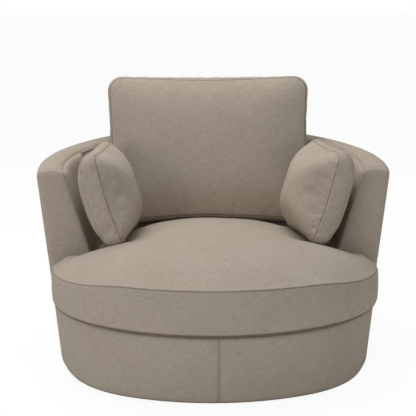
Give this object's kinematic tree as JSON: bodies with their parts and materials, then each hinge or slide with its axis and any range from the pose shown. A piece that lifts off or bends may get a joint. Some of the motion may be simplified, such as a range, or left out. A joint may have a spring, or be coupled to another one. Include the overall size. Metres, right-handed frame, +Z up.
{
  "type": "swivel lounge chair",
  "caption": "Round upholstered swivel tub chair with a boxed front-wrapping seat cushion, a loose back cushion and side pillows on a hidden turning plinth.",
  "frame": {"origin": "on the floor, on the swivel axis, under the middle of the chair", "axes": "+X to the right of someone facing the chair, -Y is the front that the sitter faces, +Z up"},
  "size_m": [1.118, 1.1185, 0.8606],
  "materials": {
    "linen_cover": "woven linen-look upholstery, taupe",
    "zip": "nylon coil zip",
    "lining_cloth": "non-woven lining",
    "webbing": "elastic webbing",
    "padding": "polyester wadding",
    "glide": "nylon",
    "cage_plastic": "acetal",
    "bush": "acetal",
    "plate_steel": "black powder coat",
    "ball_steel": "polished",
    "fastener": "zinc plated",
    "spring_steel": "oiled",
    "plywood": "sanded plywood",
    "timber": "planed softwood"
  },
  "bodies": {
    "floor_base": {"plinth_glides": "glide", "plinth_board": "plywood", "swivel_lower_plate": "plate_steel", "lower_plate_screws": "fastener", "king_pin": "fastener", "king_washer": "fastener", "king_nut": "fastener", "swivel_balls": "ball_steel", "ball_cage": "cage_plastic"},
    "chair": {"swivel_upper_plate": "plate_steel", "pivot_bush": "bush", "upper_plate_bolts": "fastener", "upper_plate_nuts": "fastener", "bottom_board": "plywood", "dust_cover": "lining_cloth", "skirt_board": "plywood", "base_posts": "timber", "seat_ring": "plywood", "front_spring_rail": "timber", "rear_spring_rail": "timber", "seat_springs": "spring_steel", "spring_clips": "spring_steel", "deck_pad": "padding", "deck_cloth": "lining_cloth", "top_rail": "plywood", "webbing": "webbing", "arm_frame_left": "plywood", "arm_frame_right": "plywood", "shell_ribs": "plywood", "outer_cover_left": "linen_cover", "outer_cover_right": "linen_cover", "arm_top_band": "linen_cover", "arm_front_panel_left": "linen_cover", "arm_front_panel_right": "linen_cover", "inside_pad_left": "linen_cover", "inside_pad_right": "linen_cover", "inside_pad_back": "linen_cover"},
    "seat_cushion": {"seat_cushion": "linen_cover", "seat_cushion_zip": "zip"},
    "back_cushion": {"back_cushion": "linen_cover", "back_cushion_zip": "zip"},
    "side_pillow_left": {"side_pillow_left": "linen_cover", "pillow_zip_left": "zip"},
    "side_pillow_right": {"side_pillow_right": "linen_cover", "pillow_zip_right": "zip"}
  },
  "joints": [
    {"name": "swivel", "type": "hinge", "parent": "floor_base", "child": "chair", "pos_m": [0, 0, 0.033], "axis": [0, 0, 1], "continuous": true},
    {"name": "seat_cushion_lift", "type": "slide", "parent": "chair", "child": "seat_cushion", "axis": [0, 0, 1], "range_m": [0, 0.3]},
    {"name": "back_cushion_lift", "type": "slide", "parent": "seat_cushion", "child": "back_cushion", "axis": [0, 0.2924, 0.9563], "range_m": [0, 0.3]},
    {"name": "left_pillow_lift", "type": "slide", "parent": "seat_cushion", "child": "side_pillow_left", "axis": [0, 0, 1], "range_m": [0, 0.3]},
    {"name": "right_pillow_lift", "type": "slide", "parent": "seat_cushion", "child": "side_pillow_right", "axis": [0, 0, 1], "range_m": [0, 0.3]}
  ]
}
